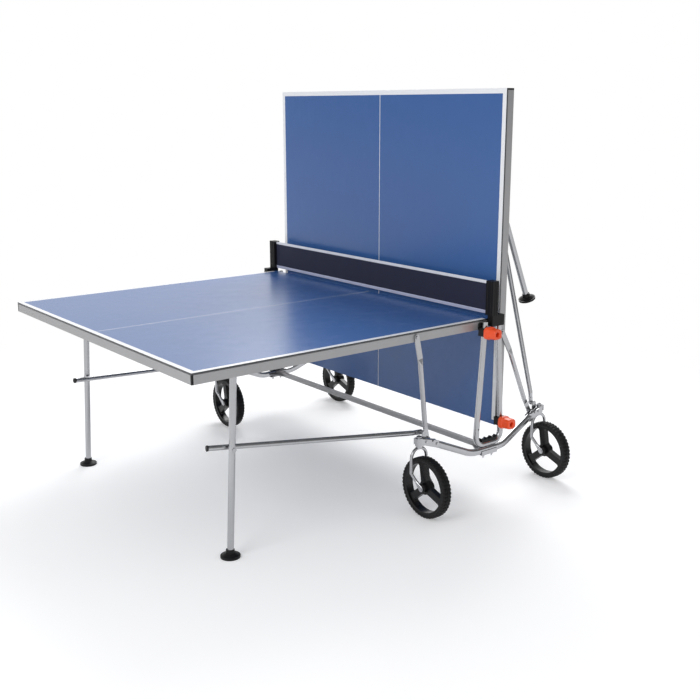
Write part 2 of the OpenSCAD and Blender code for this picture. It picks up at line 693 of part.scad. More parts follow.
// ---- Net ----
net_half = net_post_in - 0.3;
module net_post(end) {
  color(black) rotate([0, 0, end == "near" ? 180 : 0]) difference() {
    union() {
      translate([-net_post_w / 2, net_post_in, table_h + 15]) cube([net_post_w, lock_out - net_post_in, net_post_h - 15]);
      translate([-net_clamp[0], net_clamp_in, net_clamp_z])
        cube([net_clamp[0] + net_clamp[1], lock_out - net_clamp_in, table_h + 15.1 - net_clamp_z]);
    }
    for (s = [-1, 1], y = [net_post_in + 10, net_post_in + 29])
      translate([s * (net_post_w / 2 + 1), y, table_h + 15]) cylinder(h = net_post_h, r = 4);
    for (s = [-1, 1]) translate([s * 5, lock_out + 1, table_h + 15]) cylinder(h = net_post_h, r = 3);
    for (s = [0, 1]) mirror([s, 0, 0]) aim([leg_line_x(post_top), post_top], splay - 90) translate([0, post_y, -1])
      cylinder(h = 90, r = post_r + bolt_c);
    pin_x([-2 * net_clamp[0], post_y, screw_z], 2 * net_clamp[0] - leg_line_x(screw_z), bolt_r + bolt_c);
  }
}
// Reach of the net post's clamp along the table: over its post leg, and beyond the net
net_clamp = [leg_line_x(post_top) + post_r + 4, 14];
// The clamp is open towards the table, and its foot stays above the open half's lock housing
net_clamp_in = post_y - post_r + 0.4;
net_clamp_z = pivot_open[1] - lock_drop + 3;
screw_z = table_h - 20;
module pin_x(p, l, r) { translate(p) rotate([0, 90, 0]) cylinder(h = l, r = r); }
module net_screws() {
  color(black) for (a = [0, 180]) rotate([0, 0, a]) {
    pin_x([-net_clamp[0] - 6, post_y, screw_z], net_clamp[0] + 6 - leg_line_x(screw_z) - post_r - bolt_c, bolt_r);
    pin_x([-net_clamp[0] - 12, post_y, screw_z], 8, bolt_r + 3);
  }
}
module net_band(z0, z1, t) {
  translate([-t / 2, -net_half, z0]) cube([t, 2 * net_half, z1 - z0]);
}
module net_mesh() { color(navy) net_band(table_h + net_lift + hem_h, net_top - tape_h, net_t / 2); }
module net_top_tape() { color(white) net_band(net_top - tape_h, net_top, net_t); }
module net_bottom_tape() { color([0.72, 0.74, 0.86]) net_band(table_h + net_lift, table_h + net_lift + hem_h, net_t); }

// ---- Casters: every fork trails towards the near side ----
module caster(side, end) {
  translate([(side == "a" ? -1 : 1) * stem_x, (end == "near" ? -1 : 1) * stem_y, 0]) children();
}
module fork(side, end) {
  color(zinc) caster(side, end) {
    difference() {
      union() {
        bent_hoop();
        for (s = [-1, 1]) fork_blade(s);
      }
      translate([-60, axle_y, wheel_r]) rotate([0, 90, 0]) cylinder(h = 120, r = axle_r + bolt_c);
    }
    translate([0, 0, hoop_z]) cylinder(h = boss_z - side_c - hoop_z, r = 13);
    translate([0, 0, hoop_z]) cylinder(h = boss_h + boss_z - hoop_z + 8, r = stem_r);
    translate([0, 0, boss_z + boss_h + side_c]) cylinder(h = 5, r = 11);
    translate([0, 0, boss_z + boss_h + side_c + 5]) cylinder(h = 4, r1 = 11, r2 = 5);
    translate([-fork_x - flat_t - 3, axle_y, wheel_r]) rotate([0, 90, 0]) {
      cylinder(h = 2 * (fork_x + flat_t + 3), r = axle_r);
      cylinder(h = 3, r = axle_r + 3);
      translate([0, 0, 2 * (fork_x + flat_t + 3) - 3]) cylinder(h = 3, r = axle_r + 3);
    }
  }
}
// Upper hoop of the fork's round bar
module bent_hoop() {
  translate([0, 0, fork_turn_z]) rotate([90, 0, 0]) rotate_extrude(angle = 180) translate([hoop_r, 0]) circle(fork_r);
}
// One leg of the fork, from the hoop down to the axle, flattened at its end
fork_run = [hoop_r - fork_x - flat_t / 2, trail, fork_turn_z - fork_drop - wheel_r];
module fork_blade(s) {
  lean = atan2(norm([fork_run[0], fork_run[1]]), fork_run[2]);
  dir = atan2(-fork_run[1], -s * fork_run[0]);
  translate([s * hoop_r, 0, fork_turn_z - fork_drop]) {
    cylinder(h = fork_drop + weld, r = fork_r - skin);
    sphere(fork_r);
    rotate([0, 0, dir]) rotate([0, 180 - lean, 0]) {
      cylinder(h = norm(fork_run) - 30, r = fork_r - skin);
    }
  }
  hull() {
    translate([s * hoop_r, 0, fork_turn_z - fork_drop]
      + (norm(fork_run) - 38) / norm(fork_run) * [-s * fork_run[0], -fork_run[1], -fork_run[2]])
      sphere(fork_r - 0.5, $fn = 16);
    translate([s * (fork_x + flat_t / 2), axle_y, wheel_r]) rotate([0, 90, 0])
      cylinder(h = flat_t, r = fork_end_r, center = true, $fn = 32);
  }
}
fork_end_r = 12;
module wheel_at(side, end) {
  caster(side, end) translate([0, axle_y, wheel_r]) rotate([0, 90, 0]) children();
}
rim_r = wheel_r - tyre_h;
rim_in = 9;
spoke_turn = -10;
module rim(side, end) {
  color(black) wheel_at(side, end) difference() {
    union() {
      translate([0, 0, -tyre_w / 2 + 3]) difference() {
        cylinder(h = tyre_w - 6, r = rim_r);
        translate([0, 0, -1]) cylinder(h = tyre_w, r = rim_r - 9);
      }
      difference() {
        cylinder(h = 24, r = rim_r - 8, center = true);
        for (a = [0 : 120 : 240]) rotate([0, 0, a + spoke_turn]) spoke_window();
      }
      cylinder(h = 2 * (fork_x - side_c), r = hub_r, center = true);
    }
    cylinder(h = 4 * tyre_w, r = axle_r + run_c, center = true);
  }
}
// Opening between two spokes, wider at the rim
module spoke_window() {
  tip = spoke_w / 2 / sin(60);
  linear_extrude(2 * tyre_w, center = true) offset(10) offset(delta = -10) intersection() {
    ring(rim_r - rim_in, rim_r - rim_in - hub_r - 8);
    polygon([[tip, 0], [tip + rim_r * cos(60), -rim_r * sin(60)], [tip + rim_r, 0], [tip + rim_r * cos(60), rim_r * sin(60)]]);
  }
}
module tyre(side, end) {
  color([0.11, 0.11, 0.12]) wheel_at(side, end) rotate_extrude() translate([rim_r, 0]) {
    translate([0, -tyre_w / 2]) square([tyre_h - tyre_edge, tyre_w]);
    translate([0, tyre_edge - tyre_w / 2]) square([tyre_h, tyre_w - 2 * tyre_edge]);
    for (s = [-1, 1]) translate([tyre_h - tyre_edge, s * (tyre_w / 2 - tyre_edge)]) circle(tyre_edge);
  }
}
tyre_edge = 7;

at_net() rail("near");  // rail_near
at_net() rail("far");  // rail_far
at_net() post("near");  // post_near
at_net() post("far");  // post_far
at_net() cross_beam();
at_net() saddles();
at_net() clamps();
at_net() caster_brackets();
at_net() chassis_bolts();
at_net() net_post("near");  // net_post_near
at_net() net_post("far");  // net_post_far
at_net() net_mesh();
at_net() net_top_tape();
at_net() net_bottom_tape();
at_net() net_screws();
at_net() panel("a");  // panel_a
at_net() apron("a");  // apron_a
at_net() crossbars("a");  // crossbars_a
at_net() leg_brackets("a");  // leg_brackets_a
at_net() corner_caps("a");  // corner_caps_a
at_net() panel("b");  // panel_b
at_net() apron("b");  // apron_b
at_net() crossbars("b");  // crossbars_b
at_net() leg_brackets("b");  // leg_brackets_b
at_net() corner_caps("b");  // corner_caps_b
at_net() lock("a", "near");  // lock_near_a
at_net() lock("a", "far");  // lock_far_a
at_net() lock("b", "near");  // lock_near_b
at_net() lock("b", "far");  // lock_far_b
at_net() lever("a", "near");  // lever_near_a
at_net() lever("a", "far");  // lever_far_a
at_net() lever("b", "near");  // lever_near_b
at_net() lever("b", "far");  // lever_far_b
at_net() struts("a");  // struts_a
at_net() struts("b");  // struts_b
at_net() braces("a");  // braces_a
at_net() braces("b");  // braces_b
at_net() brace_caps("a");  // brace_caps_a
at_net() brace_caps("b");  // brace_caps_b
at_net() leg("a", "near");  // leg_near_a
at_net() leg("a", "far");  // leg_far_a
at_net() leg_tie("a");  // leg_tie_a
at_net() feet("a");  // feet_a
at_net() leg("b", "near");  // leg_near_b
at_net() leg("b", "far");  // leg_far_b
at_net() leg_tie("b");  // leg_tie_b
at_net() feet("b");  // feet_b
at_net() fork("a", "near");  // fork_near_a
at_net() fork("b", "near");  // fork_near_b
at_net() fork("a", "far");  // fork_far_a
at_net() fork("b", "far");  // fork_far_b
at_net() rim("a", "near");  // rim_near_a
at_net() rim("b", "near");  // rim_near_b
at_net() rim("a", "far");  // rim_far_a
at_net() rim("b", "far");  // rim_far_b
at_net() tyre("a", "near");  // tyre_near_a
at_net() tyre("b", "near");  // tyre_near_b
at_net() tyre("a", "far");  // tyre_far_a
at_net() tyre("b", "far");  // tyre_far_b
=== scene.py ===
"""Looks of the folding ping pong table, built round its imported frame. Metres, +Z up."""

import json
import math

import bmesh
import bpy
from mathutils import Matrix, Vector


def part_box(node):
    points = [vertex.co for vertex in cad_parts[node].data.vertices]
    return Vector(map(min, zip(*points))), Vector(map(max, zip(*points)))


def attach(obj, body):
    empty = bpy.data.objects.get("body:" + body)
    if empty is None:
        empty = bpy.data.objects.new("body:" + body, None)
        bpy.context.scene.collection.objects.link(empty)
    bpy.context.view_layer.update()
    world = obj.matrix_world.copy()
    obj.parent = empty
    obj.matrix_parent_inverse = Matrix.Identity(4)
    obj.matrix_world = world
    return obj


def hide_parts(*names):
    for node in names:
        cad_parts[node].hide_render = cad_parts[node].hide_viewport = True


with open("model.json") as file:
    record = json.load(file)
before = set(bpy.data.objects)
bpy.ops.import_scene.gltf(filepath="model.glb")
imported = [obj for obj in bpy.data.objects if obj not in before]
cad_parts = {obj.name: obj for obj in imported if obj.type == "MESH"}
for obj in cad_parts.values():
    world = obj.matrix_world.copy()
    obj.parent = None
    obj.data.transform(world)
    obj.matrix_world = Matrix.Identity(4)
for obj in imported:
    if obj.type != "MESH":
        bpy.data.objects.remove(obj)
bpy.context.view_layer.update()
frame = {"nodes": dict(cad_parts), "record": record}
nodes = frame["nodes"]

SIDES = ("a", "b")
ENDS = ("near", "far")

# ---- Places taken from the frame ----
top_lo, top_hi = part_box("panel_a")
fold_lo, fold_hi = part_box("panel_b")
middle_y = (top_lo.y + top_hi.y) / 2
half_width = (top_hi.y - top_lo.y) / 2


# ---- Node graphs ----
class Graph:
    """A material's node tree, with short ways to add what every material here needs."""

    def __init__(self, name):
        self.mat = bpy.data.materials.new(name)
        self.mat.use_nodes = True
        self.tree = self.mat.node_tree
        self.tree.nodes.clear()
        self.out = self.add("ShaderNodeOutputMaterial")
        self.bsdf = self.add("ShaderNodeBsdfPrincipled")
        self.link(self.bsdf.outputs["BSDF"], self.out.inputs["Surface"])
        self.place = self.add("ShaderNodeTexCoord").outputs["Object"]

    def add(self, kind, **props):
        node = self.tree.nodes.new(kind)
        for key, value in props.items():
            setattr(node, key, value)
        return node

    def link(self, a, b):
        self.tree.links.new(a, b)

    def put(self, socket, value):
        """Links a socket to another, or gives it a constant."""
        if isinstance(value, bpy.types.NodeSocket):
            self.link(value, socket)
        else:
            socket.default_value = value

    def set(self, **values):
        """Constants straight on the shader: metallic, roughness and so on."""
        for key, value in values.items():
            self.bsdf.inputs[key.replace("_", " ")].default_value = value

    def math(self, op, a, b=0.0):
        node = self.add("ShaderNodeMath", operation=op)
        self.put(node.inputs[0], a)
        self.put(node.inputs[1], b)
        return node.outputs[0]

    def noise(self, scale, detail, rough, stretch=(1, 1, 1)):
        """Noise from 0 to 1; scale counts its features in a metre."""
        place = self.mapped(stretch)
        node = self.add("ShaderNodeTexNoise")
        self.link(place, node.inputs["Vector"])
        node.inputs["Scale"].default_value = scale
        node.inputs["Detail"].default_value = detail
        node.inputs["Roughness"].default_value = rough
        return node.outputs["Fac"]

    def mapped(self, stretch=(1, 1, 1), shift=(0, 0, 0)):
        """Object coordinates, stretched and shifted."""
        node = self.add("ShaderNodeMapping")
        self.link(self.place, node.inputs["Vector"])
        node.inputs["Scale"].default_value = stretch
        node.inputs["Location"].default_value = shift
        return node.outputs["Vector"]

    def axes(self):
        """Object X, Y and Z, in metres of the frame."""
        node = self.add("ShaderNodeSeparateXYZ")
        self.link(self.place, node.inputs["Vector"])
        return node.outputs

    def ramp(self, value, low, high):
        """Maps 0..1 to low..high."""
        node = self.add("ShaderNodeMapRange")
        self.put(node.inputs["Value"], value)
        node.inputs["To Min"].default_value = low
        node.inputs["To Max"].default_value = high
        return node.outputs["Result"]

    def within(self, value, low, high):
        """1 where value lies between low and high, else 0."""
        above = self.math("GREATER_THAN", value, low)
        below = self.math("LESS_THAN", value, high)
        return self.math("MULTIPLY", above, below)

    def mix(self, share, a, b):
        """Colour a where share is 0 and b where it is 1."""
        node = self.add("ShaderNodeMix", data_type="RGBA")
        self.put(node.inputs["Factor"], share)
        self.put(node.inputs["A"], a)
        self.put(node.inputs["B"], b)
        return node.outputs["Result"]

    def bump(self, height, strength, distance):
        """Fine relief; distance is in metres."""
        node = self.add("ShaderNodeBump")
        self.link(height, node.inputs["Height"])
        node.inputs["Strength"].default_value = strength
        node.inputs["Distance"].default_value = distance
        self.link(node.outputs["Normal"], self.bsdf.inputs["Normal"])

    def color(self, value):
        self.put(self.bsdf.inputs["Base Color"], value)

    def rough(self, value):
        self.put(self.bsdf.inputs["Roughness"], value)


def rgb(r, g, b):
    return (r, g, b, 1.0)


def shade(color, k):
    """The colour, k times as bright."""
    return rgb(*(min(1.0, c * k) for c in color[:3]))


# ---- Materials ----
LAMINATE = rgb(0.042, 0.124, 0.350)
LINE_WHITE = rgb(0.93, 0.94, 0.95)
BOARD_EDGE = rgb(0.020, 0.021, 0.024)
BACK = rgb(0.30, 0.32, 0.34)
# Widths of the lines along a playing half's edges and down its middle
BORDER, CENTRE_LINE = 0.020, 0.003
# How deep a board's face reaches below its surface
SKIN = 0.0004


def laminate(name, side):
    """Blue resin board with white lines on its face, a black edge and a plain back."""
    g = Graph(name)
    x, y, z = g.axes()
    if side == "a":
        out = g.math("SUBTRACT", top_hi.x, x)
        length = top_hi.x - top_lo.x
        face = g.math("GREATER_THAN", z, top_hi.z - SKIN)
        rear = g.math("LESS_THAN", z, top_lo.z + SKIN)
    else:
        out = g.math("SUBTRACT", z, fold_lo.z)
        length = fold_hi.z - fold_lo.z
        face = g.math("LESS_THAN", x, fold_lo.x + SKIN)
        rear = g.math("GREATER_THAN", x, fold_hi.x - SKIN)
    across = g.math("ABSOLUTE", g.math("SUBTRACT", y, middle_y))
    side_line = g.math("GREATER_THAN", across, half_width - BORDER)
    side_line = g.math("MULTIPLY", side_line, g.math("GREATER_THAN", out, BORDER))
    end_line = g.math("GREATER_THAN", out, length - BORDER)
    centre = g.math("LESS_THAN", across, CENTRE_LINE / 2)
    lines = g.math("MAXIMUM", g.math("MAXIMUM", side_line, end_line), centre)
    grain = g.noise(900, 4, 0.6)
    cloud = g.noise(3.0, 3, 0.5)
    blue = g.mix(cloud, shade(LAMINATE, 0.95), shade(LAMINATE, 1.05))
    blue = g.mix(g.ramp(grain, -0.1, 0.45), blue, shade(LAMINATE, 1.12))
    white = g.mix(grain, shade(LINE_WHITE, 0.97), LINE_WHITE)
    front = g.mix(lines, blue, white)
    back = g.mix(grain, BACK, shade(BACK, 1.15))
    edge = g.mix(grain, BOARD_EDGE, shade(BOARD_EDGE, 1.5))
    g.color(g.mix(face, g.mix(rear, edge, back), front))
    g.rough(g.math("ADD", g.ramp(cloud, -0.02, 0.02), g.ramp(grain, 0.24, 0.30)))
    g.set(IOR=1.56)
    g.bump(grain, 0.05, 0.0002)
    return g.mat


def satin_coat(name, color):
    """Silver powder coat: fine metallic flakes under a satin skin."""
    g = Graph(name)
    flakes = g.noise(2100, 2, 0.7)
    cloud = g.noise(9, 4, 0.55)
    grain = g.noise(700, 3, 0.6)
    tone = g.mix(cloud, shade(color, 0.93), shade(color, 1.05))
    g.color(g.mix(g.ramp(flakes, -0.3, 0.6), tone, shade(color, 1.35)))
    g.rough(g.ramp(grain, 0.34, 0.50))
    g.set(Metallic=0.55)
    g.bump(grain, 0.12, 0.0003)
    return g.mat


def zinc(name, color, rough):
    """Bright zinc tube: drawn lines, faint blotches and a soft mirror."""
    g = Graph(name)
    blotch = g.noise(14, 5, 0.6)
    drawn = g.noise(260, 3, 0.6, stretch=(1, 1, 0.06))
    tone = g.mix(blotch, shade(color, 0.88), shade(color, 1.06))
    g.color(g.mix(g.ramp(drawn, -0.2, 0.5), tone, shade(color, 1.12)))
    g.rough(g.math("ADD", g.ramp(blotch, *rough), g.ramp(drawn, -0.03, 0.05)))
    g.set(Metallic=1.0)
    g.bump(drawn, 0.02, 0.0001)
    return g.mat


def moulded(name, color, rough, grain, depth, shine=0.5, coat=0.0):
    """Moulded plastic with an eroded grain and dust in its colour."""
    g = Graph(name)
    texture = g.noise(grain, 3, 0.6)
    cloud = g.noise(25, 4, 0.6)
    tone = g.mix(cloud, shade(color, 0.85), shade(color, 1.18))
    g.color(g.mix(g.ramp(texture, -0.2, 0.4), tone, shade(color, 1.35)))
    g.rough(g.ramp(texture, *rough))
    g.set(Coat_Weight=coat, Specular_IOR_Level=shine)
    g.bump(texture, depth, 0.0003)
    return g.mat


def rubber(name, color):
    """Matt rubber with a coarse skin."""
    g = Graph(name)
    texture = g.noise(700, 4, 0.65)
    cloud = g.noise(30, 4, 0.6)
    tone = g.mix(cloud, shade(color, 0.8), shade(color, 1.3))
    g.color(g.mix(g.ramp(texture, -0.3, 0.5), tone, shade(color, 1.5)))
    g.rough(g.ramp(texture, 0.42, 0.58))
    g.set(Specular_IOR_Level=0.25)
    g.bump(texture, 0.25, 0.0006)
    return g.mat


STITCH_LENGTH, STITCH_WIDTH = 0.005, 0.0012


def woven(name, color, pitch, depth, sheen=0.3, seam=None):
    """Cloth woven along Y and Z; seam is the height and colour of a row of stitches."""
    g = Graph(name)
    _, y, z = g.axes()
    turns = 2 * math.pi / pitch
    weft = g.math("SINE", g.math("MULTIPLY", y, turns))
    warp = g.math("SINE", g.math("MULTIPLY", z, turns))
    weave = g.math("MULTIPLY", weft, warp)
    cloud = g.noise(18, 4, 0.6)
    fuzz = g.noise(2400, 2, 0.7)
    tone = g.mix(cloud, shade(color, 0.88), shade(color, 1.10))
    tone = g.mix(g.ramp(weave, 0.0, 0.35), tone, shade(color, 0.70))
    if seam:
        height, thread = seam
        row = g.within(z, height - STITCH_WIDTH / 2, height + STITCH_WIDTH / 2)
        along = g.math("MULTIPLY", y, 2 * math.pi / STITCH_LENGTH)
        dash = g.math("GREATER_THAN", g.math("SINE", along), -0.3)
        tone = g.mix(g.math("MULTIPLY", row, dash), tone, thread)
    g.color(tone)
    g.rough(g.ramp(fuzz, 0.77, 0.93))
    g.set(Sheen_Weight=sheen)
    g.bump(g.math("ADD", weave, g.ramp(fuzz, 0, 0.6)), depth, 0.0004)
    return g.mat


SILVER = rgb(0.38, 0.38, 0.385)
ZINC = rgb(0.44, 0.445, 0.46)
BOLT_ZINC = rgb(0.50, 0.505, 0.52)
BEAM_GREY = rgb(0.42, 0.42, 0.43)
BLACK = rgb(0.008, 0.008, 0.009)
RIM_BLACK = rgb(0.006, 0.006, 0.0065)
ORANGE = rgb(0.95, 0.085, 0.016)
NAVY = rgb(0.014, 0.017, 0.046)
TAPE = rgb(0.82, 0.83, 0.87)
HEM = rgb(0.47, 0.49, 0.64)
TYRE = rgb(0.009, 0.009, 0.0095)

mat_apron = satin_coat("satin_silver", SILVER)
mat_beam = satin_coat("satin_grey", BEAM_GREY)
mat_zinc = zinc("bright_zinc", ZINC, (0.14, 0.24))
mat_bolt = zinc("zinc_bolts", BOLT_ZINC, (0.20, 0.40))
mat_black = moulded("black_plastic", BLACK, (0.38, 0.55), 1400, 0.22, shine=0.22)
mat_rim = moulded("rim_plastic", RIM_BLACK, (0.22, 0.34), 900, 0.10, shine=0.28)
mat_orange = moulded("orange_plastic", ORANGE, (0.30, 0.42), 1100, 0.12, coat=0.1)
mat_tyre = rubber("tyre_rubber", TYRE)
mat_panel = {s: laminate("laminate_" + s, s) for s in SIDES}


def dress(node, mat):
    """Gives a CAD node its material."""
    mesh = nodes[node].data
    mesh.materials.clear()
    mesh.materials.append(mat)


BY_SLOT = {
    "apron_silver": mat_apron,
    "beam_grey": mat_beam,
    "tube_zinc": mat_zinc,
    "bolt_steel": mat_bolt,
    "black_plastic": mat_black,
    "orange_plastic": mat_orange,
    "rim_plastic": mat_rim,
    "tyre": mat_tyre,
}
for part in frame["record"]["subparts"]:
    if part["material_slot"] in BY_SLOT:
        dress(part["node"], BY_SLOT[part["material_slot"]])
for side in SIDES:
    dress("panel_" + side, mat_panel[side])


# ---- Pieces made here ----
SHARP_ANGLE = math.radians(40)


def new_piece(name, bm, mat, body):
    """An object from bm, shaded smooth but for its edges, that rides on a body."""
    mesh = bpy.data.meshes.new(name)
    bm.normal_update()
    bm.to_mesh(mesh)
    bm.free()
    obj = bpy.data.objects.new(name, mesh)
    bpy.context.scene.collection.objects.link(obj)
    mesh.materials.append(mat)
    for face in mesh.polygons:
        face.use_smooth = True
    mesh.set_sharp_from_angle(angle=SHARP_ANGLE)
    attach(obj, body)
    return obj


def skin(bm, rows, ends_meet):
    """Faces between rows of equally many vertices, each row a closed ring."""
    for a, b in zip(rows, rows[1:] + rows[:1] if ends_meet else rows[1:]):
        for j in range(len(a)):
            k = (j + 1) % len(a)
            bm.faces.new((a[j], a[k], b[k], b[j]))


BAND_STEPS = 120


def band(name, node, profile, mat, ripple):
    """Closed band along Y through the box of a CAD node, from a profile of (x, z) points."""
    lo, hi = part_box(node)
    mid_x = (lo.x + hi.x) / 2
    bm = bmesh.new()
    rows = []
    for i in range(BAND_STEPS + 1):
        y = lo.y + (hi.y - lo.y) * i / BAND_STEPS
        wave = ripple * math.sin(i * 0.9) * math.sin(math.pi * i / BAND_STEPS)
        rows.append([bm.verts.new((mid_x + px + wave, y, pz)) for px, pz in profile])
    skin(bm, rows, ends_meet=False)
    bm.faces.new(rows[0])
    bm.faces.new(rows[-1][::-1])
    bmesh.ops.recalc_face_normals(bm, faces=bm.faces)
    piece = new_piece(name, bm, mat, "chassis")
    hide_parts(node)
    return piece


TAPE_ROUND, ROUND_SIDES = 0.001, 6


def tape_profile(node):
    """Profile of a flat tape: the node's box with rounded long edges."""
    lo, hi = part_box(node)
    t = (hi.x - lo.x) / 2
    r = min(TAPE_ROUND, t)
    points = []
    right, left, top, bottom = t - r, r - t, hi.z - r, lo.z + r
    corners = ((right, top, 0), (left, top, 90), (left, bottom, 180), (right, bottom, 270))
    for cx, cz, start in corners:
        for i in range(ROUND_SIDES + 1):
            a = math.radians(start + 90 * i / ROUND_SIDES)
            points.append((cx + r * math.cos(a), cz + r * math.sin(a)))
    return points


def cloth_profile(node):
    """Profile of the plain cloth: the node's box."""
    lo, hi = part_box(node)
    t = (hi.x - lo.x) / 2
    return [(t, lo.z), (t, hi.z), (-t, hi.z), (-t, lo.z)]


tape_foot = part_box("net_top_tape")[0].z
hem_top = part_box("net_bottom_tape")[1].z
# How far the stitches lie from a tape's edge
SEAM_IN = 0.002
mat_net = woven("net_mesh_cloth", NAVY, 0.0022, 0.5, sheen=0.05)
tape_seam = (tape_foot + SEAM_IN, shade(TAPE, 0.75))
hem_seam = (hem_top - SEAM_IN, shade(HEM, 1.5))
mat_tape = woven("net_tape_cloth", TAPE, 0.0012, 0.25, seam=tape_seam)
mat_hem = woven("net_hem_cloth", HEM, 0.0012, 0.25, seam=hem_seam)


def tape(name, node, mat):
    """Tape sewn along an edge of the net, in place of its CAD band."""
    return band(name, node, tape_profile(node), mat, ripple=0.0002)


net = band("net_cloth", "net_mesh", cloth_profile("net_mesh"), mat_net, ripple=0.0004)
top_tape = tape("net_tape", "net_top_tape", mat_tape)
hem = tape("net_hem", "net_bottom_tape", mat_hem)


# ---- Tyres and levers ----
def loft(name, rings, mat, body):
    """Closed skin over rings of equally many points, the last ring joined to the first."""
    bm = bmesh.new()
    skin(bm, [[bm.verts.new(point) for point in ring] for ring in rings], ends_meet=True)
    bmesh.ops.recalc_face_normals(bm, faces=bm.faces)
    return new_piece(name, bm, mat, body)


SIPES, STEPS_PER_SIPE = 48, 3
# Half a tyre's section from the middle to the bead: shares of its half width and height,
# and how deep a sipe cuts there
TREAD = (
    (0.0, 1.0, 0), (0.10, 1.0, 0),
    (0.13, 0.78, 0), (0.21, 0.78, 0),
    (0.24, 1.0, 0.0034), (0.46, 0.995, 0.0040),
    (0.49, 0.80, 0), (0.57, 0.80, 0),
    (0.60, 0.985, 0.0042), (0.82, 0.95, 0.0046), (0.95, 0.80, 0.0040), (1.0, 0.60, 0.0022),
    (0.985, 0.50, 0), (0.93, 0.46, 0), (0.95, 0.30, 0), (0.90, 0.12, 0), (0.84, 0.0, 0),
)


def tyre(end, side):
    """Tyre with two grooves on each side of its middle and cross sipes, about its wheel's X axle."""
    node = f"tyre_{end}_{side}"
    lo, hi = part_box(node)
    rim_lo, rim_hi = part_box(f"rim_{end}_{side}")
    mid = (lo + hi) / 2
    half = (hi.x - lo.x) / 2
    outer = (hi.z - lo.z) / 2
    inner = (rim_hi.z - rim_lo.z) / 2
    section = [(-w, h, cut) for w, h, cut in TREAD[:0:-1]] + list(TREAD)
    rings = []
    steps = SIPES * STEPS_PER_SIPE
    for i in range(steps):
        turn = 2 * math.pi * i / steps
        c, s = math.cos(turn), math.sin(turn)
        ring = []
        for w, h, cut in section:
            r = inner + (outer - inner) * h - (cut if i % STEPS_PER_SIPE == 0 else 0.0)
            ring.append((mid.x + half * w, mid.y + r * c, mid.z + r * s))
        rings.append(ring)
    piece = loft(f"tyre_tread_{end}_{side}", rings, mat_tyre, f"wheel_{end}_{side}")
    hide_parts(node)


# Radii of a lever's pivot hole and of the recess round the pin's cap
PIVOT_HOLE, RECESS = 0.0056, 0.0098
# Thickness of its plate, and how far its pivot lies from its middle
PLATE, PIVOT_OFF = 0.019, 0.0005
# Depth of the outermost layer of the CAD lever, which shows the side that its grip is on
TIP_LAYER = 0.002
# Points and flutes round a lever, and the power of its rounded square
LEVER_POINTS, FLUTES, SQUARENESS = 64, 16, 3.4


def lever(end, side):
    """Chunky lock lever: a rounded block with grip flutes and a recess for the pin's cap."""
    node = f"lever_{end}_{side}"
    lo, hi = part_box(node)
    mid = (lo + hi) / 2
    out = -1 if end == "near" else 1
    base = hi.y if end == "near" else lo.y
    deep = hi.y - lo.y
    half_x, half_z = (hi.x - lo.x) / 2, (hi.z - lo.z) / 2
    points = [v.co for v in nodes[node].data.vertices]
    tip = [p for p in points if abs(p.y - base) > deep - TIP_LAYER]
    grip = 1 if sum(p.x for p in tip) / len(tip) > mid.x else -1
    pivot_x = mid.x + PIVOT_OFF * grip
    turns = [2 * math.pi * i / LEVER_POINTS for i in range(LEVER_POINTS)]

    def circle(r, depth):
        y = base + out * depth
        return [(pivot_x + r * math.cos(a), y, mid.z + r * math.sin(a)) for a in turns]

    def block(scale, depth, flutes=0.0, lean=0.0):
        """Rounded outline, its edge fluted and its middle moved towards the grip."""
        y = base + out * depth
        ring = []
        for a in turns:
            c, s = math.cos(a), math.sin(a)
            k = scale / (abs(c) ** SQUARENESS + abs(s) ** SQUARENESS) ** (1 / SQUARENESS)
            k *= 1 - flutes * (0.5 + 0.5 * math.cos(FLUTES * a))
            ring.append((mid.x + lean * grip + half_x * k * c, y, mid.z + half_z * k * s))
        return ring

    # From the back face over the plate's edge and the grip, then into the recess
    rings = [
        circle(PIVOT_HOLE, 0.0),
        block(0.93, 0.0), block(0.985, 0.0012), block(1.0, 0.004),
        block(1.0, PLATE - 0.003), block(0.97, PLATE - 0.001), block(0.90, PLATE),
        block(0.87, PLATE + 0.0015), block(0.86, PLATE + 0.006, 0.0, 0.001),
        block(0.86, PLATE + 0.010, 0.05, 0.001), block(0.84, deep - 0.008, 0.05, 0.002),
        block(0.81, deep - 0.003, 0.02, 0.002), block(0.75, deep - 0.0006, 0.0, 0.002),
        block(0.70, deep, 0.0, 0.002),
        circle(RECESS + 0.003, deep), circle(RECESS + 0.001, deep - 0.001),
        circle(RECESS, deep - 0.003), circle(RECESS, PLATE),
        circle(PIVOT_HOLE, PLATE),
    ]
    body = f"lever_{end}_{side}_body"
    piece = loft(f"lock_lever_{end}_{side}", rings, mat_orange, body)
    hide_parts(node)


for side in SIDES:
    for end in ENDS:
        tyre(end, side)
        lever(end, side)

# ---- Floor ----
# Distances over which the floor fades into white, and how far towards -X their middle lies
CLEAR_FROM, CLEAR_TO, FADE_SHIFT = 1.1, 3.2, 0.15
# How much the floor glows to the camera, so that only the shadows on it show
FLOOR_LIFT = 0.23
# Half the floor's side, and how far it lies below the object
FLOOR_HALF, FLOOR_DROP = 40.0, 0.0005


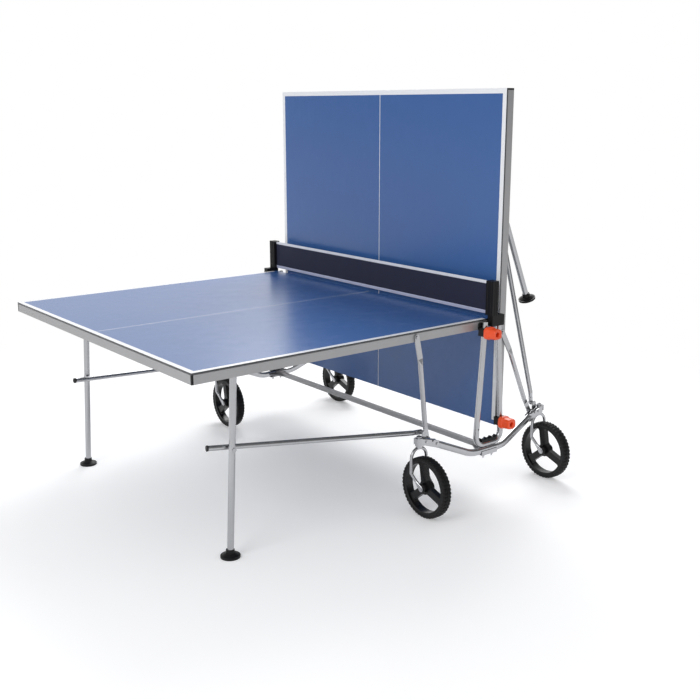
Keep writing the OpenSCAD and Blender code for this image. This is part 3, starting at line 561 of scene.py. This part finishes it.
def floor_material():
    """Pale floor that keeps the shadows round the object and fades into plain white."""
    g = Graph("pale_floor")
    g.color(g.mix(g.noise(40, 3, 0.5), rgb(0.86, 0.86, 0.87), rgb(0.88, 0.88, 0.89)))
    g.set(Roughness=0.9, Specular_IOR_Level=0.1)
    length = g.add("ShaderNodeVectorMath", operation="LENGTH")
    g.link(g.mapped(shift=(FADE_SHIFT, 0.0, 0.0)), length.inputs[0])
    reach = g.add("ShaderNodeMapRange", interpolation_type="SMOOTHSTEP")
    g.link(length.outputs["Value"], reach.inputs["Value"])
    reach.inputs["From Min"].default_value = CLEAR_FROM
    reach.inputs["From Max"].default_value = CLEAR_TO
    white = g.add("ShaderNodeEmission")
    path = g.add("ShaderNodeLightPath")
    seen = g.math("MAXIMUM", path.outputs["Is Camera Ray"], path.outputs["Is Glossy Ray"])
    seen = g.math("MAXIMUM", seen, path.outputs["Is Transmission Ray"])
    share = g.math("MULTIPLY", reach.outputs["Result"], seen)
    lift = g.add("ShaderNodeEmission")
    g.put(lift.inputs["Strength"], g.math("MULTIPLY", seen, FLOOR_LIFT))
    lifted = g.add("ShaderNodeAddShader")
    g.link(g.bsdf.outputs["BSDF"], lifted.inputs[0])
    g.link(lift.outputs["Emission"], lifted.inputs[1])
    blend = g.add("ShaderNodeMixShader")
    g.link(share, blend.inputs["Fac"])
    g.link(lifted.outputs["Shader"], blend.inputs[1])
    g.link(white.outputs["Emission"], blend.inputs[2])
    g.link(blend.outputs["Shader"], g.out.inputs["Surface"])
    return g.mat


def make_floor():
    bm = bmesh.new()
    bmesh.ops.create_grid(bm, x_segments=2, y_segments=2, size=FLOOR_HALF)
    mesh = bpy.data.meshes.new("floor")
    bm.to_mesh(mesh)
    bm.free()
    obj = bpy.data.objects.new("floor", mesh)
    obj.location = (0, 0, -FLOOR_DROP)
    bpy.context.scene.collection.objects.link(obj)
    mesh.materials.append(floor_material())


make_floor()


# ---- Light ----
def make_world():
    """Even light, a white backdrop, and darker studio walls to its sides in reflections."""
    world = bpy.data.worlds.new("studio")
    bpy.context.scene.world = world
    world.use_nodes = True
    tree = world.node_tree
    tree.nodes.clear()

    def add(kind, **inputs):
        node = tree.nodes.new(kind)
        for name, value in inputs.items():
            node.inputs[name].default_value = value
        return node

    out = add("ShaderNodeOutputWorld")
    lit = add("ShaderNodeBackground", Color=rgb(0.97, 0.98, 1.0), Strength=WORLD_LIGHT)
    white = add("ShaderNodeBackground", Color=rgb(1, 1, 1), Strength=1.0)
    mirrored = add("ShaderNodeBackground", Color=rgb(1, 1, 1))
    place = add("ShaderNodeTexCoord")
    ahead = add("ShaderNodeVectorMath")
    ahead.operation = "DOT_PRODUCT"
    ahead.inputs[1].default_value = (math.cos(VIEW_YAW), math.sin(VIEW_YAW), 0.0)
    tree.links.new(place.outputs["Generated"], ahead.inputs[0])
    share = add("ShaderNodeMapRange")
    share.inputs["From Min"].default_value = -1.0
    tree.links.new(ahead.outputs["Value"], share.inputs["Value"])
    walls = add("ShaderNodeValToRGB")
    stops = walls.color_ramp.elements
    stops[0].position, stops[1].position = WALLS[0][0], WALLS[-1][0]
    for at, _ in WALLS[1:-1]:
        stops.new(at)
    for stop, (_, level) in zip(stops, WALLS):
        stop.color = rgb(level, level, level)
    tree.links.new(share.outputs["Result"], walls.inputs["Fac"])
    tree.links.new(walls.outputs["Color"], mirrored.inputs["Strength"])
    path = add("ShaderNodeLightPath")
    gloss = add("ShaderNodeMixShader")
    tree.links.new(path.outputs["Is Glossy Ray"], gloss.inputs["Fac"])
    tree.links.new(lit.outputs["Background"], gloss.inputs[1])
    tree.links.new(mirrored.outputs["Background"], gloss.inputs[2])
    seen = add("ShaderNodeMath")
    seen.operation = "MAXIMUM"
    tree.links.new(path.outputs["Is Camera Ray"], seen.inputs[0])
    tree.links.new(path.outputs["Is Transmission Ray"], seen.inputs[1])
    mix = add("ShaderNodeMixShader")
    tree.links.new(seen.outputs[0], mix.inputs["Fac"])
    tree.links.new(gloss.outputs["Shader"], mix.inputs[1])
    tree.links.new(white.outputs["Background"], mix.inputs[2])
    tree.links.new(mix.outputs["Shader"], out.inputs["Surface"])


def softbox(name, place, aim_at, size, power):
    """Square lamp of the given side, turned towards a point."""
    light = bpy.data.lights.new(name, "AREA")
    light.shape = "SQUARE"
    light.size = size
    light.energy = power
    obj = bpy.data.objects.new(name, light)
    obj.location = place
    way = Vector(aim_at) - Vector(place)
    obj.rotation_mode = "QUATERNION"
    obj.rotation_quaternion = way.to_track_quat("-Z", "Y")
    bpy.context.scene.collection.objects.link(obj)


# Where the camera looks: turned from +X towards +Y, and tilted down
VIEW_YAW, VIEW_DOWN = 0.8975, 0.2432
WORLD_LIGHT = 0.62
# How bright reflections find the studio, from behind the camera (0) to straight ahead (1)
WALLS = ((0.0, 0.85), (0.12, 0.75), (0.28, 0.22), (0.62, 0.18), (0.80, 0.95), (1.0, 1.0))
make_world()
softbox("key", (3.2, 3.0, 4.6), (0.0, 0.0, 0.5), 3.4, 210)
softbox("fill", (-4.4, -1.6, 3.2), (0.2, 0.0, 0.7), 2.6, 90)

# ---- Camera ----
SENSOR, LENS = 36.0, 50.76
SHIFT_X, SHIFT_Y = -0.0035, 0.0016
EYE = Vector((-2.4053, -3.4487, 1.5941))


def make_camera():
    data = bpy.data.cameras.new("camera")
    data.sensor_width = SENSOR
    data.lens = LENS
    data.shift_x, data.shift_y = SHIFT_X, SHIFT_Y
    data.dof.use_dof = False
    data.clip_end = 200.0
    camera = bpy.data.objects.new("camera", data)
    bpy.context.scene.collection.objects.link(camera)
    bpy.context.scene.camera = camera
    camera.location = EYE
    way = Vector((
        math.cos(VIEW_YAW) * math.cos(VIEW_DOWN),
        math.sin(VIEW_YAW) * math.cos(VIEW_DOWN),
        -math.sin(VIEW_DOWN),
    ))
    camera.rotation_mode = "QUATERNION"
    camera.rotation_quaternion = way.to_track_quat("-Z", "Y")


make_camera()
bpy.context.scene.view_settings.view_transform = "Standard"
